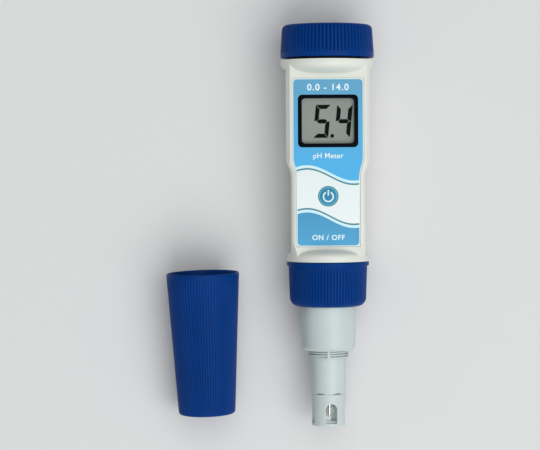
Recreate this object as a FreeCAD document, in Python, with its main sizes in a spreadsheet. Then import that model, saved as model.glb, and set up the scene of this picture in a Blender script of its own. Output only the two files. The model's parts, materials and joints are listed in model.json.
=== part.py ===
import FreeCAD, Part
import math
import os
import re
import Sketcher

# A pen-shaped digital pH meter lying on a table beside its loose sensor cap.
# Every piece is drawn on its own axis: z runs along the pen from the electrode tip toward the
# battery cap, z = 0 is the lower lip of the housing, and the display faces -y. The pieces are
# then laid on the table, +Y toward the battery cap and +Z up. Lengths are millimetres.

Vector = FreeCAD.Vector

DIMENSIONS = [
    # housing outline
    ("face_height", "11.8"), ("back_height", "13.0"), ("upper_half_width", "17.8"),
    ("lower_half_width", "15.8"), ("waist_top", "44.3"), ("waist_bottom", "36.6"),
    ("housing_top", "86.0"), ("wall", "1.6"), ("face_wall", "1.8"),
    ("front_edge_radius", "2.2"), ("back_edge_radius", "6.0"),
    ("envelope_radius", "20.0"), ("envelope_low_radius", "18.8"), ("envelope_low", "8.0"),
    # upper lip and shoulder
    ("upper_lip_radius", "20.0"), ("upper_lip_bottom", "84.9"),
    ("shoulder_join_radius", "18.472"), ("shoulder_join", "82.062"),
    ("shoulder_foot_radius", "11.6"), ("shoulder_foot", "80.0"),
    ("shoulder_side_curve", "3.4"), ("shoulder_face_curve", "12.48"),
    # lower lip and arch
    ("lower_lip_radius", "17.65"), ("lower_lip_top", "1.7"),
    ("arch_join_radius", "16.607"), ("arch_join", "3.627"),
    ("arch_foot_radius", "11.65"), ("arch_foot", "5.1"),
    ("arch_side_curve", "2.3"), ("arch_face_curve", "9.073"),
    # inside of the housing
    ("cavity_bottom", "9.0"), ("cavity_top", "79.0"), ("cavity_back", "11.3"),
    ("cavity_step", "7.0"), ("cavity_back_half_width", "12.3"),
    ("cell_bore_radius", "10.2"), ("neck_bore_radius", "12.2"), ("neck_bore_bottom", "84.5"),
    ("upper_neck_radius", "13.9"), ("upper_neck_top", "95.0"),
    ("ring_groove_radius", "13.5"), ("ring_middle", "86.9"), ("ring_half", "0.7"),
    ("lower_neck_radius", "13.2"), ("lower_neck_length", "9.5"),
    ("spigot_bore_radius", "11.0"), ("spigot_bore_top", "2.0"), ("socket_bore_radius", "9.6"),
    # coarse threads of the battery cap and the collar
    ("thread_pitch", "2.5"), ("ridge_half_base", "0.6"), ("ridge_half_crest", "0.3"),
    ("ridge_sink", "0.3"),
    ("upper_ridge_radius", "14.8"), ("upper_ridge_start", "89.65"), ("upper_ridge_height", "4.3"),
    ("cap_bore_radius", "15.0"), ("cap_ridge_radius", "14.1"), ("cap_ridge_start", "88.4"),
    ("cap_ridge_height", "3.75"),
    ("lower_ridge_radius", "14.1"), ("lower_ridge_start", "-7.5"), ("lower_ridge_height", "5.5"),
    ("collar_bore_radius", "14.35"), ("collar_ridge_radius", "13.4"),
    ("collar_ridge_start", "-8.75"), ("collar_ridge_height", "5.0"),
    # label recess, display and button openings
    ("recess_depth", "0.6"), ("label_thickness", "0.45"), ("recess_gap", "0.2"),
    ("label_top", "77.9"), ("label_bottom", "6.6"), ("label_upper_half_width", "15.1"),
    ("label_lower_half_width", "13.5"), ("label_waist_top", "44.2"), ("label_waist_bottom", "36.8"),
    ("label_corner", "2.0"),
    ("bezel_top", "71.0"), ("bezel_bottom", "48.65"), ("bezel_half_width", "12.8"),
    ("bezel_corner", "1.9"), ("bezel_thickness", "0.2"),
    ("screen_top", "69.4"), ("screen_bottom", "50.3"), ("screen_half_width", "11.1"),
    ("screen_corner", "1.5"), ("screen_margin", "0.3"),
    ("button_height", "27.9"), ("button_radius", "4.24"), ("button_gap", "0.25"),
    ("button_front", "11.95"), ("button_flange_radius", "5.4"), ("button_flange_thickness", "0.7"),
    ("button_stem_radius", "1.8"), ("button_stem_end", "8.0"), ("button_clear", "0.1"),
    # display stack and circuit board, measured forward of the axis
    ("glass_back", "7.9"), ("glass_front", "9.9"), ("glass_half_width", "12.4"),
    ("glass_bottom", "49.0"), ("glass_top", "70.8"),
    ("frame_half_width", "13.4"), ("frame_bottom", "48.0"), ("frame_top", "71.8"),
    ("board_front", "6.1"), ("board_back", "4.9"), ("board_top", "72.0"), ("board_bottom", "9.2"),
    ("board_upper_half_width", "13.5"), ("board_lower_half_width", "11.5"),
    ("board_waist_top", "46.0"), ("board_waist_bottom", "38.0"),
    ("connector_depth", "2.0"), ("connector_half_width", "11.8"),
    ("screw_high", "43.0"), ("screw_low", "15.0"), ("screw_high_x", "9.5"), ("screw_low_x", "8.5"),
    ("post_radius", "2.0"), ("screw_radius", "0.8"), ("screw_head_radius", "1.5"),
    ("screw_head_height", "1.0"), ("screw_depth", "8.9"), ("screw_hole_radius", "0.85"),
    ("chip_half", "4.5"), ("chip_height", "31.0"), ("chip_thickness", "1.5"),
    ("amplifier_half_width", "2.5"), ("amplifier_half_height", "2.0"), ("amplifier_height", "19.0"),
    ("crystal_radius", "1.5"), ("crystal_x", "9.0"), ("crystal_bottom", "50.0"),
    ("crystal_top", "57.5"),
    ("capacitor_half", "1.1"), ("capacitor_thickness", "1.3"),
    ("switch_half", "3.0"), ("switch_front", "7.3"), ("plunger_radius", "1.6"),
    ("plunger_front", "7.95"),
    # cells and their holder
    ("cell_radius", "5.8"), ("cell_height", "5.4"), ("cell_cap_radius", "4.3"),
    ("cell_step", "0.3"), ("stack_bottom", "75.2"),
    ("holder_inner_radius", "6.05"), ("holder_outer_radius", "7.05"), ("holder_bottom", "72.2"),
    ("holder_floor", "73.2"), ("holder_hole_radius", "2.0"), ("holder_flange_bottom", "93.8"),
    ("holder_flange_radius", "12.1"), ("guide_x", "9.6"), ("guide_radius", "1.0"),
    ("guide_hole_radius", "1.2"), ("guide_bottom", "86.5"),
    ("spring_wire_radius", "0.25"), ("spring_radius", "4.6"), ("spring_bottom", "73.8"),
    ("spring_pitch", "0.55"), ("spring_height", "1.1"),
    ("terminal_half", "4.0"), ("terminal_thickness", "0.3"), ("terminal_foot", "70.9"),
    ("strip_thickness", "0.35"), ("strip_half_width", "1.5"), ("strip_foot", "69.6"),
    # contact plate carried by the battery cap
    ("plate_bottom", "96.9"), ("plate_top", "97.9"), ("plate_radius", "11.4"),
    ("post_neck_radius", "1.5"), ("post_head_radius", "2.3"), ("post_neck_top", "98.6"),
    ("post_top", "99.1"),
    # battery cap
    ("cap_bottom", "87.0"), ("cap_ring_bottom", "87.4"), ("cap_ring_top", "89.2"),
    ("cap_ring_radius", "20.0"), ("cap_top_radius", "19.3"), ("cap_top", "101.1"),
    ("cap_top_edge", "1.3"), ("cap_mouth_radius", "19.6"), ("cap_ceiling", "99.3"),
    ("clip_inner_radius", "2.6"), ("clip_lip_radius", "1.8"), ("clip_outer_radius", "3.8"),
    ("clip_bottom", "98.1"), ("clip_lip_top", "98.45"),
    ("cap_rib_depth", "0.45"), ("cap_rib_gap", "0.7"),
    # collar
    ("collar_start", "0.2"), ("flange_radius", "17.65"), ("flange_end", "1.9"),
    ("collar_upper_radius", "16.9"), ("collar_lower_radius", "16.35"), ("collar_turn", "16.0"),
    ("collar_end_radius", "12.75"), ("collar_end", "19.4"), ("collar_round", "3.9"),
    ("collar_pass_radius", "12.3"), ("collar_seat", "12.6"), ("bead_radius", "13.6"),
    ("bead_start", "9.75"), ("bead_end", "10.2"), ("collar_rib_depth", "0.4"),
    ("collar_rib_gap", "0.65"),
    # electrode, measured down from the lower lip
    ("spigot_radius", "10.6"), ("spigot_top", "2.0"), ("seat_start", "10.35"),
    ("seat_end", "12.35"), ("seat_radius", "13.9"),
    ("neck_radius", "12.0"), ("neck_end_radius", "11.55"), ("neck_end", "37.0"),
    ("nose_radius", "10.3"), ("nose_end", "38.3"), ("fine_core_radius", "7.75"),
    ("fine_crest_radius", "8.75"), ("fine_pitch", "1.08"), ("fine_start", "-41.4"),
    ("fine_height", "2.7"), ("fine_half_base", "0.42"), ("fine_half_crest", "0.26"),
    ("fine_end", "41.8"), ("fine_gap", "1.1"),
    ("shaft_radius", "7.4"), ("shaft_end", "57.0"), ("gel_bore_radius", "5.9"),
    ("gel_bore_start", "13.0"), ("stem_hole_radius", "3.05"), ("stem_start", "15.0"),
    ("guard_radius", "7.2"), ("guard_inner_radius", "6.2"), ("guard_end", "70.7"),
    ("guard_spigot_radius", "5.85"), ("guard_spigot_start", "54.0"), ("guard_bore_radius", "5.0"),
    ("guard_round", "0.5"), ("window_half_width", "2.43"), ("window_start", "61.1"),
    ("window_end", "69.4"), ("window_foot", "0.4"), ("window_edge", "0.3"),
    ("guard_turn", "9.8"), ("seam_edge", "0.2"),
    ("plug_end", "58.4"), ("plug_radius", "5.1"),
    ("stem_radius", "3.0"), ("stem_wall", "0.5"), ("bulb_radius", "3.5"), ("bulb_middle", "63.4"),
    ("wire_radius", "0.35"), ("reference_x", "4.6"), ("inner_wire_x", "1.0"),
    ("probe_radius", "0.6"), ("probe_x", "0.3"), ("probe_forward", "4.3"), ("probe_end", "66.2"),
    ("probe_tip", "0.45"),
    ("pin_circle", "4.5"), ("pin_radius", "0.5"), ("pin_top", "5.0"),
    ("pin_hole_radius", "0.7"), ("socket_radius", "9.4"), ("socket_bottom", "2.6"),
    ("gasket_inner_radius", "11.1"), ("gasket_outer_radius", "13.1"),
    # sensor cap, measured up from its closed end
    ("guardcap_end_radius", "12.2"), ("guardcap_mouth_radius", "15.85"),
    ("guardcap_length", "61.1"), ("guardcap_wall", "1.3"), ("guardcap_edge", "1.2"),
    ("guardcap_rib_depth", "0.45"), ("guardcap_rib_gap", "0.62"), ("guardcap_rim", "0.5"),
    ("liner_seat", "36.0"), ("liner_top", "41.0"), ("liner_radius", "9.1"),
    ("liner_wall", "1.0"), ("liner_bottom", "3.2"), ("liner_ridge_radius", "8.35"),
    ("liner_clear", "0.1"), ("liner_ridge_start", "36.8"), ("liner_ridge_height", "2.7"),
    ("sponge_radius", "8.9"), ("sponge_height", "4.6"),
]

CAP_RIBS = 76
COLLAR_RIBS = 76
GUARDCAP_RIBS = 74

doc = FreeCAD.newDocument("PhMeter")
sheet = doc.addObject("Spreadsheet::Sheet", "Dim")
for row, (word, value) in enumerate(DIMENSIONS, start=1):
    cell = "A%d" % row
    sheet.set(cell, value)
    sheet.setAlias(cell, word)
doc.recompute()


def formula(text):
    """Spreadsheet formula for a length written with the dimension words."""
    return re.sub(r"\b[a-z_]+\b(?!\()", r"Dim.\g<0>", text)


def number(text):
    """Present value of such a formula."""
    return float(sheet.evalExpression(formula(text)))


def new_body(label):
    body = doc.addObject("PartDesign::Body", label)
    body.Label = label
    body.AllowCompound = True
    return body


def new_sketch(body, name, plane, offset):
    sketch = body.newObject("Sketcher::SketchObject", name)
    role = plane + "_Plane"
    support = [item for item in body.Origin.OriginFeatures if item.Role == role][0]
    sketch.AttachmentSupport = [(support, "")]
    sketch.MapMode = "FlatFace"
    sketch.setExpression("AttachmentOffset.Base.z", formula(offset))
    return sketch


def bind(sketch, kind, place, text):
    """Adds one constraint held to a formula of the sheet."""
    index = sketch.addConstraint(Sketcher.Constraint(kind, *place, number(text)))
    sketch.setExpression("Constraints[%d]" % index, formula(text))


def outline(body, name, plane, corners, offset="0"):
    """Closed sketch. A corner is (x, y) or, where a curve leaves it, (x, y, radius, side);
    side is 1 when the curve's centre lies left of the way to the next corner, else -1."""
    sketch = new_sketch(body, name, plane, offset)
    points = [Vector(number(corner[0]), number(corner[1]), 0) for corner in corners]
    starts, ends = [], []
    for index, corner in enumerate(corners):
        here, there = points[index], points[(index + 1) % len(corners)]
        if len(corner) == 2:
            sketch.addGeometry(Part.LineSegment(here, there), False)
            starts.append(1)
            ends.append(2)
            continue
        radius, side = number(corner[2]), corner[3]
        along = there - here
        across = Vector(-along.y, along.x, 0).normalize() * side
        rise = math.sqrt(max(radius ** 2 - (along.Length / 2) ** 2, 0))
        centre = (here + there) * 0.5 + across * rise
        first, last = (here, there) if side > 0 else (there, here)
        begin = math.atan2(first.y - centre.y, first.x - centre.x)
        finish = math.atan2(last.y - centre.y, last.x - centre.x)
        circle = Part.Circle(centre, Vector(0, 0, 1), radius)
        sketch.addGeometry(Part.ArcOfCircle(circle, begin, finish), False)
        starts.append(1 if side > 0 else 2)
        ends.append(2 if side > 0 else 1)
    for index, corner in enumerate(corners):
        before = index - 1 if index else len(corners) - 1
        sketch.addConstraint(
            Sketcher.Constraint("Coincident", before, ends[before], index, starts[index]))
        bind(sketch, "DistanceX", (-1, 1, index, starts[index]), corner[0])
        bind(sketch, "DistanceY", (-1, 1, index, starts[index]), corner[1])
        if len(corner) == 4:
            bind(sketch, "Radius", (index,), corner[2])
    return sketch


def rounds(body, name, plane, circles, offset="0"):
    """Sketch of circles, each (x, y, radius)."""
    sketch = new_sketch(body, name, plane, offset)
    for index, (across, up, radius) in enumerate(circles):
        centre = Vector(number(across), number(up), 0)
        sketch.addGeometry(Part.Circle(centre, Vector(0, 0, 1), number(radius)), False)
        bind(sketch, "DistanceX", (-1, 1, index, 3), across)
        bind(sketch, "DistanceY", (-1, 1, index, 3), up)
        bind(sketch, "Radius", (index,), radius)
    return sketch


def box_corners(left, right, bottom, top):
    return [(left, bottom), (right, bottom), (right, top), (left, top)]


def soft_corners(half_width, bottom, top, corner):
    """Rectangle about the middle line with rounded corners."""
    left, right = "-(%s)" % half_width, half_width
    return [
        ("%s + %s" % (left, corner), bottom), ("%s - %s" % (right, corner), bottom, corner, 1),
        (right, "%s + %s" % (bottom, corner)), (right, "%s - %s" % (top, corner), corner, 1),
        ("%s - %s" % (right, corner), top), ("%s + %s" % (left, corner), top, corner, 1),
        (left, "%s - %s" % (top, corner)), (left, "%s + %s" % (bottom, corner), corner, 1),
    ]


def extruded(body, sketch, length, kind="Pad", backward=False, both_ways=False):
    """Pad or Pocket. A pad leaves the sketch along its normal, a pocket goes the other way."""
    feature = body.newObject("PartDesign::" + kind, sketch.Name + kind)
    feature.Profile = sketch
    feature.setExpression("Length", formula(length))
    feature.Reversed = backward
    feature.Midplane = both_ways
    body.Tip = feature
    return feature


def checked_cut(body, sketch, length, backward=False, both_ways=False):
    """Pocket that must take material away."""
    doc.recompute()
    before = body.Shape.Volume
    feature = extruded(body, sketch, length, "Pocket", backward, both_ways)
    doc.recompute()
    if not body.Shape.Volume < before - 1e-6:
        raise RuntimeError("nothing removed by " + sketch.Name)
    return feature


def turned(body, name, corners, kind="Revolution"):
    """Revolution or Groove of a profile in the x-z plane about the piece's z axis."""
    sketch = outline(body, name, "XZ", corners)
    feature = body.newObject("PartDesign::" + kind, name + kind)
    feature.Profile = sketch
    feature.ReferenceAxis = (sketch, ["V_Axis"])
    feature.Angle = 360
    body.Tip = feature
    doc.recompute()
    return feature


def helical_ridge(body, name, corners, pitch, height):
    """Screw-thread ridge swept from its lowest profile."""
    sketch = outline(body, name, "XZ", corners)
    ridge = body.newObject("PartDesign::AdditiveHelix", name + "Ridge")
    ridge.Profile = sketch
    ridge.ReferenceAxis = (sketch, ["V_Axis"])
    ridge.Mode = 0
    ridge.setExpression("Pitch", formula(pitch))
    ridge.setExpression("Height", formula(height))
    body.Tip = ridge
    doc.recompute()
    return ridge


def ridge_profile(root, crest, start, half_base="ridge_half_base", half_crest="ridge_half_crest"):
    return [
        (root, "%s - %s" % (start, half_base)), (crest, "%s - %s" % (start, half_crest)),
        (crest, "%s + %s" % (start, half_crest)), (root, "%s + %s" % (start, half_base)),
    ]


def ribbed(body, name, corners, gap, count):
    """One groove between two ribs, repeated round the piece."""
    sketch = outline(body, name, "XZ", corners)
    groove = checked_cut(body, sketch, gap, both_ways=True)
    ring = body.newObject("PartDesign::PolarPattern", name + "Ring")
    ring.Originals = [groove]
    axis = [item for item in body.Origin.OriginFeatures if item.Role == "Z_Axis"][0]
    ring.Axis = (axis, [""])
    ring.Angle = 360
    ring.Occurrences = count
    body.Tip = ring
    doc.recompute()


def rounded_edges(body, name, radius, chosen):
    """Fillet on the edges for which chosen(edge) is true."""
    doc.recompute()
    before = body.Tip
    names = ["Edge%d" % (i + 1) for i, edge in enumerate(before.Shape.Edges) if chosen(edge)]
    if not names:
        raise RuntimeError("no edge for " + name)
    fillet = body.newObject("PartDesign::Fillet", name)
    fillet.Base = (before, names)
    fillet.setExpression("Radius", formula(radius))
    body.Tip = fillet
    doc.recompute()


def side_edges(depth):
    """Chooser for the edges that run up the two sides of the housing at one depth."""
    def chosen(edge):
        middle = edge.valueAt((edge.FirstParameter + edge.LastParameter) / 2)
        flat = all(abs(vertex.Point.y - depth) < 1e-6 for vertex in edge.Vertexes)
        return flat and abs(middle.x) > 1 and abs(middle.y - depth) < 1e-6
    return chosen


# ---------------------------------------------------------------- housing
waist_curve = ("((waist_top - waist_bottom)^2 + (upper_half_width - lower_half_width)^2)"
               " / (4 * (upper_half_width - lower_half_width))")
waist_x = "(upper_half_width + lower_half_width) / 2"
waist_z = "(waist_top + waist_bottom) / 2"


def waisted(inset, bottom, top):
    """Housing outline seen from the front, moved in by inset, with the tapering waist."""
    upper, lower = "upper_half_width - %s" % inset, "lower_half_width - %s" % inset
    middle = "%s - %s" % (waist_x, inset)
    return [
        (lower, bottom), (lower, "waist_bottom", waist_curve, -1),
        (middle, waist_z, waist_curve, 1), (upper, "waist_top"), (upper, top),
        ("-(%s)" % upper, top), ("-(%s)" % upper, "waist_top", waist_curve, 1),
        ("-(%s)" % middle, waist_z, waist_curve, -1), ("-(%s)" % lower, "waist_bottom"),
        ("-(%s)" % lower, bottom),
    ]


housing = new_body("housing")
block = outline(housing, "Block", "XZ", waisted("0", "lower_lip_top / 2", "upper_lip_bottom"),
                "face_height")
extruded(housing, block, "face_height + back_height", backward=True)
rounded_edges(housing, "FrontEdges", "front_edge_radius", side_edges(-number("face_height")))
rounded_edges(housing, "BackEdges", "back_edge_radius", side_edges(number("back_height")))
turned(housing, "Envelope", [
    ("lower_lip_radius - 0.15", "0"), ("30", "0"), ("30", "90"), ("envelope_radius", "90"),
    ("envelope_radius", "envelope_low + 5"), ("envelope_low_radius", "envelope_low"),
    ("lower_lip_radius - 0.15", "lower_lip_top"),
], "Groove")
turned(housing, "UpperLip", [
    ("0", "shoulder_foot"), ("shoulder_foot_radius", "shoulder_foot", "shoulder_face_curve", 1),
    ("shoulder_join_radius", "shoulder_join", "shoulder_side_curve", 1),
    ("upper_lip_radius", "upper_lip_bottom"), ("upper_lip_radius", "housing_top"),
    ("upper_neck_radius", "housing_top"),
    ("upper_neck_radius", "ring_middle - ring_half"),
    ("ring_groove_radius", "ring_middle - ring_half"),
    ("ring_groove_radius", "ring_middle + ring_half"),
    ("upper_neck_radius", "ring_middle + ring_half"),
    ("upper_neck_radius", "upper_neck_top"), ("0", "upper_neck_top"),
])
turned(housing, "LowerLip", [
    ("0", "-lower_neck_length"), ("lower_neck_radius", "-lower_neck_length"),
    ("lower_neck_radius", "0"), ("lower_lip_radius", "0"),
    ("lower_lip_radius", "lower_lip_top", "arch_side_curve", 1),
    ("arch_join_radius", "arch_join", "arch_face_curve", 1),
    ("arch_foot_radius", "arch_foot"), ("0", "arch_foot"),
])
helical_ridge(housing, "UpperThread", ridge_profile(
    "upper_neck_radius - ridge_sink", "upper_ridge_radius", "upper_ridge_start"),
    "thread_pitch", "upper_ridge_height")
helical_ridge(housing, "LowerThread", ridge_profile(
    "lower_neck_radius - ridge_sink", "lower_ridge_radius", "lower_ridge_start"),
    "thread_pitch", "lower_ridge_height")
cavity_front = outline(housing, "CavityFront", "XZ", waisted("wall", "cavity_bottom", "cavity_top"),
                       "-cavity_step")
checked_cut(housing, cavity_front, "face_height - face_wall + cavity_step", backward=True)
cavity_rear = outline(housing, "CavityRear", "XZ", box_corners(
    "-cavity_back_half_width", "cavity_back_half_width", "cavity_bottom", "cavity_top"),
    "-cavity_back")
checked_cut(housing, cavity_rear, "cavity_back - cavity_step + 0.5", backward=True)
turned(housing, "UpperBore", [
    ("0", "cavity_top - 1"), ("cell_bore_radius", "cavity_top - 1"),
    ("cell_bore_radius", "neck_bore_bottom"), ("neck_bore_radius", "neck_bore_bottom"),
    ("neck_bore_radius", "upper_neck_top + 1"), ("0", "upper_neck_top + 1"),
], "Groove")
turned(housing, "LowerBore", [
    ("0", "-lower_neck_length - 1"), ("spigot_bore_radius", "-lower_neck_length - 1"),
    ("spigot_bore_radius", "spigot_bore_top"), ("socket_bore_radius", "spigot_bore_top"),
    ("socket_bore_radius", "cavity_bottom + 1"), ("0", "cavity_bottom + 1"),
], "Groove")
recess = "label_%s_half_width + recess_gap"
label_recess = outline(housing, "LabelRecess", "XZ", [
    (recess % "lower", "label_bottom - recess_gap"), (recess % "lower", "label_waist_bottom"),
    (recess % "upper", "label_waist_top"), (recess % "upper", "label_top + recess_gap"),
    ("-(%s)" % (recess % "upper"), "label_top + recess_gap"),
    ("-(%s)" % (recess % "upper"), "label_waist_top"),
    ("-(%s)" % (recess % "lower"), "label_waist_bottom"),
    ("-(%s)" % (recess % "lower"), "label_bottom - recess_gap"),
], "face_height")
checked_cut(housing, label_recess, "recess_depth")
display_opening = outline(housing, "DisplayOpening", "XZ", soft_corners(
    "screen_half_width + screen_margin", "screen_bottom - screen_margin",
    "screen_top + screen_margin", "screen_corner"), "face_height")
checked_cut(housing, display_opening, "face_wall + 0.1")
button_opening = rounds(housing, "ButtonOpening", "XZ",
                        [("0", "button_height", "button_radius + button_gap")], "face_height")
checked_cut(housing, button_opening, "face_wall + 0.1")
screw_places = [(side + x, height) for x, height in
                (("screw_high_x", "screw_high"), ("screw_low_x", "screw_low"))
                for side in ("", "-")]
posts = rounds(housing, "Posts", "XZ",
               [(x, height, "post_radius") for x, height in screw_places], "board_front")
extruded(housing, posts, "face_height - face_wall + 0.2 - board_front")
post_holes = rounds(housing, "PostHoles", "XZ",
                    [(x, height, "screw_hole_radius") for x, height in screw_places],
                    "board_front")
checked_cut(housing, post_holes, "screw_depth + 0.3 - board_front", backward=True)
doc.recompute()

halves = []
for label, start in (("front_shell", -40.0), ("rear_shell", 0.0)):
    side = doc.addObject("Part::Box", label + "_side")
    side.Length, side.Width, side.Height = 80, 40, 140
    side.Placement = FreeCAD.Placement(Vector(-40, start, -20), FreeCAD.Rotation())
    half = doc.addObject("Part::Common", label)
    half.Label = label
    half.Base, half.Tool = housing, side
    halves.append(half)
doc.recompute()

# ---------------------------------------------------------------- label and display
front_label = new_body("front_label")
label_sheet = outline(front_label, "LabelSheet", "XZ", [
    ("label_lower_half_width", "label_bottom + label_corner"),
    ("label_lower_half_width", "label_waist_bottom"),
    ("label_upper_half_width", "label_waist_top"),
    ("label_upper_half_width", "label_top - label_corner", "label_corner", 1),
    ("label_upper_half_width - label_corner", "label_top"),
    ("-label_upper_half_width + label_corner", "label_top", "label_corner", 1),
    ("-label_upper_half_width", "label_top - label_corner"),
    ("-label_upper_half_width", "label_waist_top"),
    ("-label_lower_half_width", "label_waist_bottom"),
    ("-label_lower_half_width", "label_bottom + label_corner", "label_corner", 1),
    ("-label_lower_half_width + label_corner", "label_bottom"),
    ("label_lower_half_width - label_corner", "label_bottom", "label_corner", 1),
], "face_height - recess_depth")
extruded(front_label, label_sheet, "label_thickness")
label_front = "face_height - recess_depth + label_thickness"
checked_cut(front_label, outline(front_label, "LabelWindow", "XZ", soft_corners(
    "bezel_half_width", "bezel_bottom", "bezel_top", "bezel_corner"), label_front),
    "label_thickness + 0.1")
checked_cut(front_label, rounds(front_label, "LabelHole", "XZ", [
    ("0", "button_height", "button_radius + button_gap")], label_front), "label_thickness + 0.1")

display_bezel = new_body("display_bezel")
extruded(display_bezel, outline(display_bezel, "BezelSheet", "XZ", soft_corners(
    "bezel_half_width", "bezel_bottom", "bezel_top", "bezel_corner"),
    "face_height - recess_depth"), "bezel_thickness")
checked_cut(display_bezel, outline(display_bezel, "BezelOpening", "XZ", soft_corners(
    "screen_half_width", "screen_bottom", "screen_top", "screen_corner"),
    "face_height - recess_depth + bezel_thickness"), "bezel_thickness + 0.1")

display_window = new_body("display_window")
extruded(display_window, outline(display_window, "WindowSheet", "XZ", soft_corners(
    "bezel_half_width", "bezel_bottom", "bezel_top", "bezel_corner"),
    "face_height - recess_depth + bezel_thickness"), "label_thickness - bezel_thickness")

lcd_glass = new_body("lcd_glass")
extruded(lcd_glass, outline(lcd_glass, "GlassPlate", "XZ", box_corners(
    "-glass_half_width", "glass_half_width", "glass_bottom", "glass_top"), "glass_back"),
    "glass_front - glass_back")

lcd_frame = new_body("lcd_frame")
extruded(lcd_frame, outline(lcd_frame, "FrameBlock", "XZ", box_corners(
    "-frame_half_width", "frame_half_width", "frame_bottom", "frame_top"), "board_front"),
    "glass_front - board_front")
checked_cut(lcd_frame, outline(lcd_frame, "FrameOpening", "XZ", box_corners(
    "-glass_half_width", "glass_half_width", "glass_bottom", "glass_top"), "glass_front"),
    "glass_front - board_front + 0.1")

lcd_connectors = new_body("lcd_connectors")
extruded(lcd_connectors, outline(lcd_connectors, "LowConnector", "XZ", box_corners(
    "-connector_half_width", "connector_half_width", "glass_bottom + 0.3",
    "glass_bottom + 0.3 + connector_depth"), "board_front"), "glass_back - board_front")
extruded(lcd_connectors, outline(lcd_connectors, "HighConnector", "XZ", box_corners(
    "-connector_half_width", "connector_half_width", "glass_top - 0.3 - connector_depth",
    "glass_top - 0.3"), "board_front"), "glass_back - board_front")

# ---------------------------------------------------------------- circuit board and its parts
circuit_board = new_body("circuit_board")
extruded(circuit_board, outline(circuit_board, "BoardSheet", "XZ", [
    ("board_lower_half_width", "board_bottom"), ("board_lower_half_width", "board_waist_bottom"),
    ("board_upper_half_width", "board_waist_top"), ("board_upper_half_width", "board_top"),
    ("-board_upper_half_width", "board_top"), ("-board_upper_half_width", "board_waist_top"),
    ("-board_lower_half_width", "board_waist_bottom"), ("-board_lower_half_width", "board_bottom"),
], "board_back"), "board_front - board_back")
checked_cut(circuit_board, rounds(circuit_board, "BoardHoles", "XZ", [
    (x, height, "screw_hole_radius") for x, height in screw_places], "board_front"),
    "board_front - board_back + 0.1")

board_screws = new_body("board_screws")
extruded(board_screws, rounds(board_screws, "ScrewHeads", "XZ", [
    (x, height, "screw_head_radius") for x, height in screw_places],
    "board_back - screw_head_height"), "screw_head_height")
extruded(board_screws, rounds(board_screws, "ScrewShanks", "XZ", [
    (x, height, "screw_radius") for x, height in screw_places],
    "board_back - screw_head_height / 2"), "screw_depth - board_back + screw_head_height / 2")


def back_block(label, middle_x, middle_z, half_width, half_height, thickness):
    """Component soldered to the rear face of the circuit board."""
    body = new_body(label)
    extruded(body, outline(body, label + "_block", "XZ", box_corners(
        "%s - %s" % (middle_x, half_width), "%s + %s" % (middle_x, half_width),
        "%s - %s" % (middle_z, half_height), "%s + %s" % (middle_z, half_height)),
        "board_back - %s" % thickness), thickness)
    return body


controller_chip = back_block("controller_chip", "0", "chip_height", "chip_half", "chip_half",
                             "chip_thickness")
amplifier_chip = back_block("amplifier_chip", "0", "amplifier_height", "amplifier_half_width",
                            "amplifier_half_height", "chip_thickness")

board_crystal = new_body("board_crystal")
extruded(board_crystal, rounds(board_crystal, "CrystalCan", "XY", [
    ("crystal_x", "crystal_radius - board_back", "crystal_radius")], "crystal_bottom"),
    "crystal_top - crystal_bottom")

board_capacitors = new_body("board_capacitors")
for index, (x, z) in enumerate((("-8.5", "24"), ("8.5", "24"), ("-8.5", "31"), ("8.5", "36"),
                                ("-6", "52"), ("-6", "58"))):
    extruded(board_capacitors, outline(board_capacitors, "Capacitor%d" % index, "XZ", box_corners(
        "%s - capacitor_half" % x, "%s + capacitor_half" % x, "%s - 2 * capacitor_half" % z,
        "%s + 2 * capacitor_half" % z), "board_back - capacitor_thickness"),
        "capacitor_thickness")

switch_body = new_body("switch_body")
extruded(switch_body, outline(switch_body, "SwitchBlock", "XZ", box_corners(
    "-switch_half", "switch_half", "button_height - switch_half", "button_height + switch_half"),
    "board_front"), "switch_front - board_front")
checked_cut(switch_body, rounds(switch_body, "SwitchHole", "XZ", [
    ("0", "button_height", "plunger_radius + 0.15")], "switch_front"),
    "switch_front - board_front - 0.2")

switch_plunger = new_body("switch_plunger")
extruded(switch_plunger, rounds(switch_plunger, "PlungerPost", "XZ", [
    ("0", "button_height", "plunger_radius")], "switch_front - 0.5"),
    "plunger_front - switch_front + 0.5")

power_button = new_body("power_button")
button_face = "face_height - face_wall - button_clear"
extruded(power_button, rounds(power_button, "ButtonStem", "XZ", [
    ("0", "button_height", "button_stem_radius")], "button_stem_end"),
    "face_height - face_wall - button_stem_end - 0.3")
extruded(power_button, rounds(power_button, "ButtonFlange", "XZ", [
    ("0", "button_height", "button_flange_radius")],
    "%s - button_flange_thickness" % button_face), "button_flange_thickness")
extruded(power_button, rounds(power_button, "ButtonDisc", "XZ", [
    ("0", "button_height", "button_radius")], "%s - 0.2" % button_face),
    "button_front - (%s) + 0.2" % button_face)

# ---------------------------------------------------------------- cells and holder
battery_holder = new_body("battery_holder")
turned(battery_holder, "HolderTube", [
    ("0", "holder_bottom"), ("holder_outer_radius", "holder_bottom"),
    ("holder_outer_radius", "holder_flange_bottom"),
    ("holder_flange_radius", "holder_flange_bottom"), ("holder_flange_radius", "upper_neck_top"),
    ("holder_inner_radius", "upper_neck_top"), ("holder_inner_radius", "holder_floor"),
    ("0", "holder_floor"),
])
checked_cut(battery_holder, rounds(battery_holder, "HolderHole", "XY", [
    ("0", "0", "holder_hole_radius")], "holder_floor"), "holder_floor - holder_bottom + 0.1")
checked_cut(battery_holder, rounds(battery_holder, "GuideHoles", "XY", [
    ("guide_x", "0", "guide_hole_radius"), ("-guide_x", "0", "guide_hole_radius")],
    "upper_neck_top"), "upper_neck_top - holder_flange_bottom + 0.1")

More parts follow.
